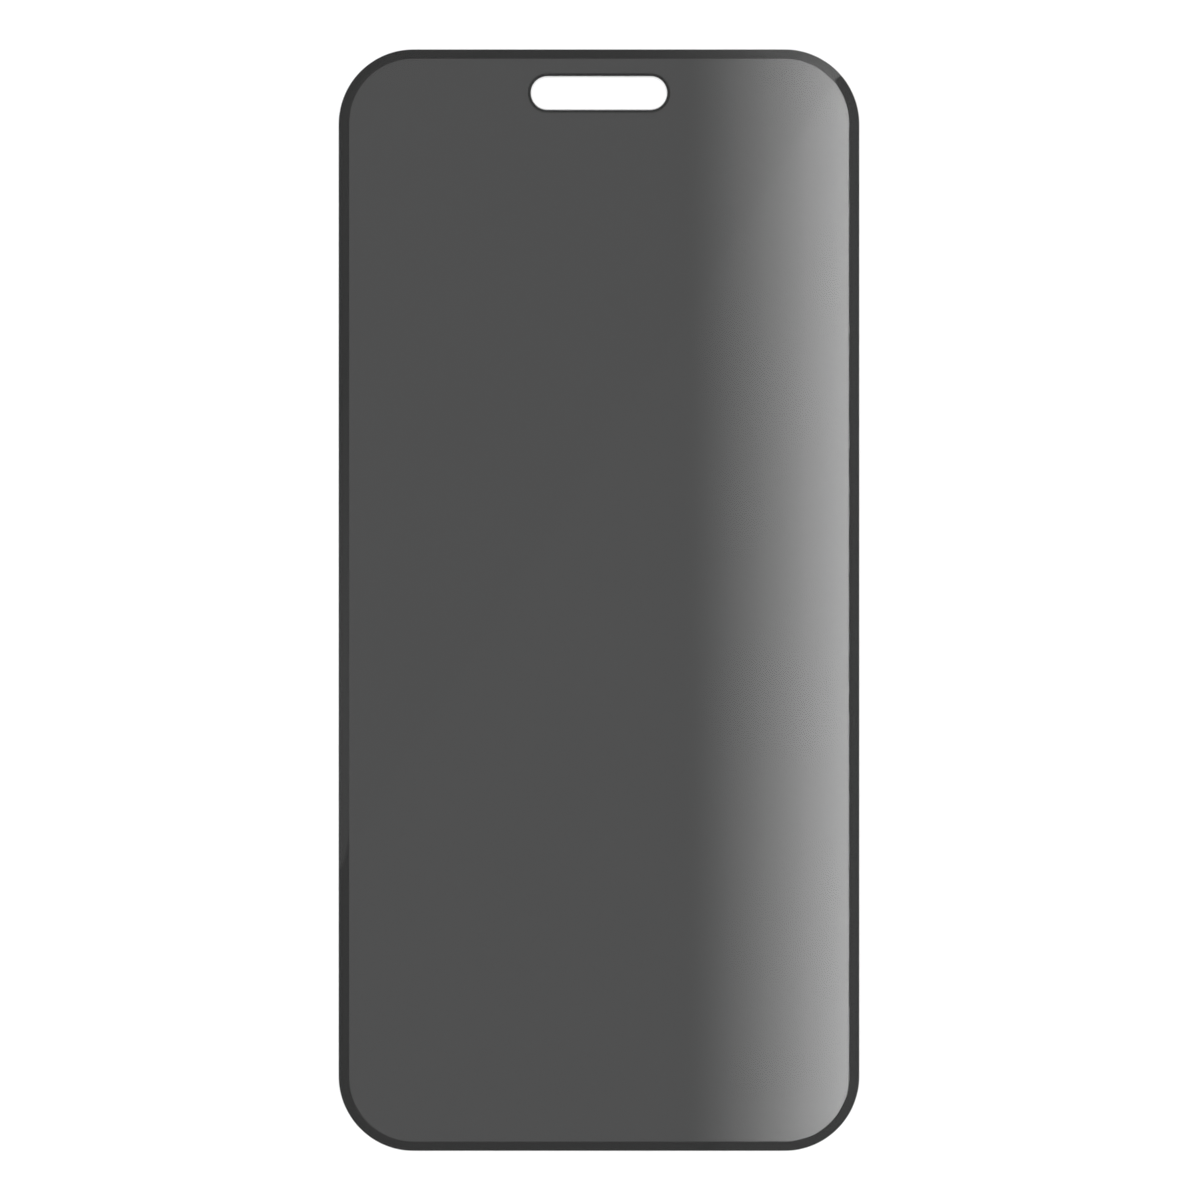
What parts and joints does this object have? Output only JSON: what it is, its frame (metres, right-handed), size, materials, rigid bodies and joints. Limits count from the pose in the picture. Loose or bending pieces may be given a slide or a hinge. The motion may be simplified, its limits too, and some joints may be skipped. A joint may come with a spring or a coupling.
{
  "type": "phone privacy screen protector",
  "caption": "Thin rounded-rectangle glass screen protector for a phone, with a smoke-grey privacy film, a black printed border and a pill-shaped sensor slot near one end.",
  "frame": {"origin": "centre of the adhesive underside, on the surface that the protector lies on", "axes": "+Z out of the glass's face, +Y along the length towards the end with the sensor slot, +X across the width"},
  "size_m": [0.068, 0.144, 0.0005],
  "materials": {
    "cover_glass": "polished",
    "border_print": "smooth black ink",
    "privacy_film": "smoke-grey film"
  },
  "bodies": {
    "root": {"cover_glass": "cover_glass", "border_print": "border_print", "privacy_film": "privacy_film"}
  },
  "joints": []
}
